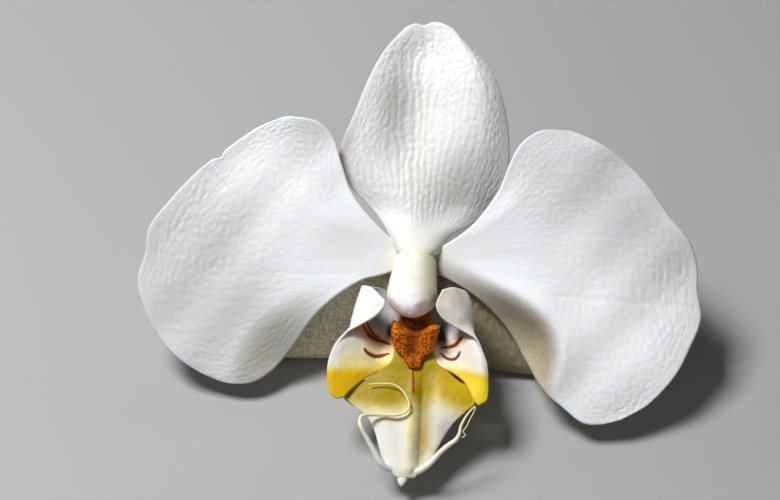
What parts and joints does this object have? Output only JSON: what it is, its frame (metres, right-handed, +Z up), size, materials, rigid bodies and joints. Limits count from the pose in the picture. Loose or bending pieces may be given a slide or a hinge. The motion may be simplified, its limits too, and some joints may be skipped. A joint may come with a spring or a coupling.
{
  "type": "orchid flower",
  "caption": "Single open moth orchid flower with broad white petals and a yellow and white lip with tendrils, lying on its lower sepals and cut stalk.",
  "frame": {"origin": "on the surface that the flower lies on, under the middle of its box", "axes": "+X across the flower to the right as its face is seen, +Y along the surface from the lip towards the upper sepal, +Z up from the surface"},
  "size_m": [0.0898, 0.0648, 0.0425],
  "materials": {
    "petal_white": "soft, waxy white with fine cells and faint veins, greenish cream at the base",
    "sepal_grey_green": "soft, waxy greyish green white",
    "lip_white_yellow": "waxy white and cream, yellow in the middle, with dark red stripes and a dark red centre line",
    "callus_orange": "glossy golden orange with dark red brown spots",
    "column_cream": "waxy cream white",
    "anther_white": "smooth lavender white with two peach brown marks",
    "stalk_green": "satin pale green"
  },
  "bodies": {
    "root": {"dorsal_sepal": "petal_white", "petal_left": "petal_white", "petal_right": "petal_white", "lateral_sepal_left": "sepal_grey_green", "lateral_sepal_right": "sepal_grey_green", "lip": "lip_white_yellow", "lip_callus": "callus_orange", "column": "column_cream", "anther_cap": "anther_white", "pedicel": "stalk_green"}
  },
  "joints": []
}
